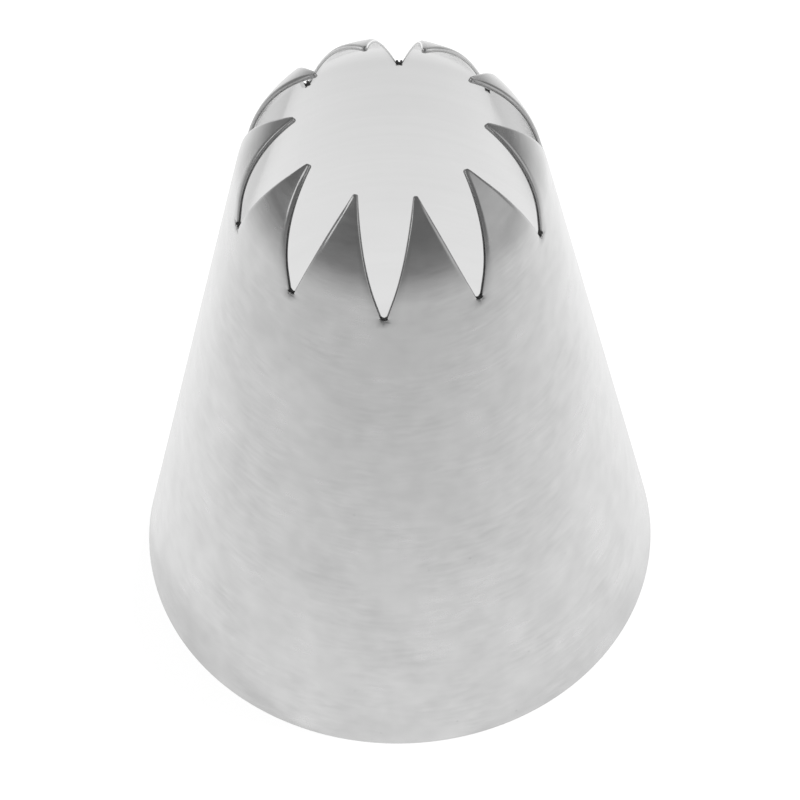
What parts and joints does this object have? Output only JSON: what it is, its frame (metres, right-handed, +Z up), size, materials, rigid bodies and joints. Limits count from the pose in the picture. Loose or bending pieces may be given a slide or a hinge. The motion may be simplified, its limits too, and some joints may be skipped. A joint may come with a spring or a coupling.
{
  "type": "piping nozzle",
  "caption": "Open star piping nozzle: a thin stainless steel cone whose small end is cut into pointed teeth that curl inwards.",
  "frame": {"origin": "centre of the wide open end, on the surface that the nozzle stands on", "axes": "+Z up along the nozzle's axis, from the wide end towards the toothed end; -Y faces the middle of the notch nearest the camera"},
  "size_m": [0.034, 0.034, 0.046],
  "materials": {
    "stainless_steel": "satin outside with fine marks running round the cone, bright inside, plain cut edges"
  },
  "bodies": {
    "root": {"nozzle_shell": "stainless_steel"}
  },
  "joints": []
}
